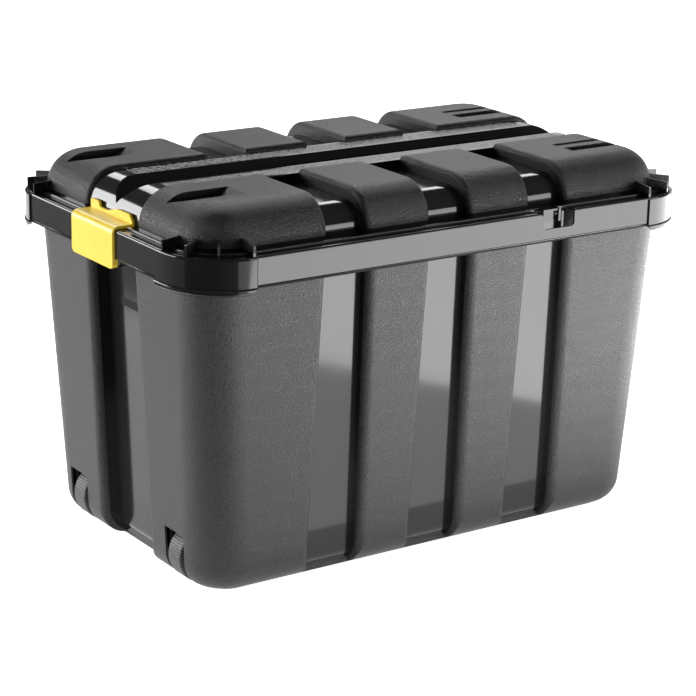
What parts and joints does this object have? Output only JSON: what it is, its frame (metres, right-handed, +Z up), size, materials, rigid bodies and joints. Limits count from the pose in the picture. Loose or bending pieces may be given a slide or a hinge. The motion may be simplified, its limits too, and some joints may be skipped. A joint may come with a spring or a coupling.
{
  "type": "toolbox with tray",
  "caption": "Large wheeled tool trunk with panelled body, domed lift-off lid, snap-over end clips, corner wheels and a lift-out tray.",
  "frame": {"origin": "centre of the footprint at floor level", "axes": "+X along the length with the wheels at the -X end, +Y across, +Z up"},
  "size_m": [0.8078, 0.5202, 0.5175],
  "materials": {
    "body_plastic": "fine-grained moulded polypropylene with smooth glossy channels and rim",
    "clip_plastic": "smooth moulded plastic",
    "wheel_plastic": "moulded plastic hub",
    "tread": "ribbed tread",
    "pin_steel": "drawn steel",
    "tray_plastic": "fine-grained moulded polypropylene"
  },
  "bodies": {
    "base": {"tub": "body_plastic", "clip_pin_left": "pin_steel", "clip_pin_right": "pin_steel", "axle_near": "pin_steel", "axle_far": "pin_steel", "axle_caps": "pin_steel"},
    "lid": {"lid": "body_plastic"},
    "clip_left": {"clip_left": "clip_plastic"},
    "clip_right": {"clip_right": "clip_plastic"},
    "wheel_near": {"wheel_near": "wheel_plastic", "tyre_near": "tread"},
    "wheel_far": {"wheel_far": "wheel_plastic", "tyre_far": "tread"},
    "tray": {"tray": "tray_plastic", "tray_handle": "clip_plastic", "tray_dividers": "tray_plastic"}
  },
  "joints": [
    {"name": "lid_lift", "type": "slide", "parent": "base", "child": "lid", "axis": [0, 0, 1], "range_m": [0, 0.45]},
    {"name": "tray_lift", "type": "slide", "parent": "base", "child": "tray", "axis": [0, 0, 1], "range_m": [0, 0.225]},
    {"name": "clip_left_swing", "type": "hinge", "parent": "base", "child": "clip_left", "pos_m": [-0.391, 0, 0.419], "axis": [0, -1, 0], "range_deg": [0, 110]},
    {"name": "clip_right_swing", "type": "hinge", "parent": "base", "child": "clip_right", "pos_m": [0.391, 0, 0.419], "axis": [0, 1, 0], "range_deg": [0, 110]},
    {"name": "wheel_near_spin", "type": "hinge", "parent": "base", "child": "wheel_near", "pos_m": [-0.322, -0.131, 0.0385], "axis": [0, 1, 0], "continuous": true},
    {"name": "wheel_far_spin", "type": "hinge", "parent": "base", "child": "wheel_far", "pos_m": [-0.322, 0.131, 0.0385], "axis": [0, 1, 0], "continuous": true}
  ],
  "couplings": [
    {"joint": "tray_lift", "follows": "lid_lift", "ratio": 0.5}
  ]
}
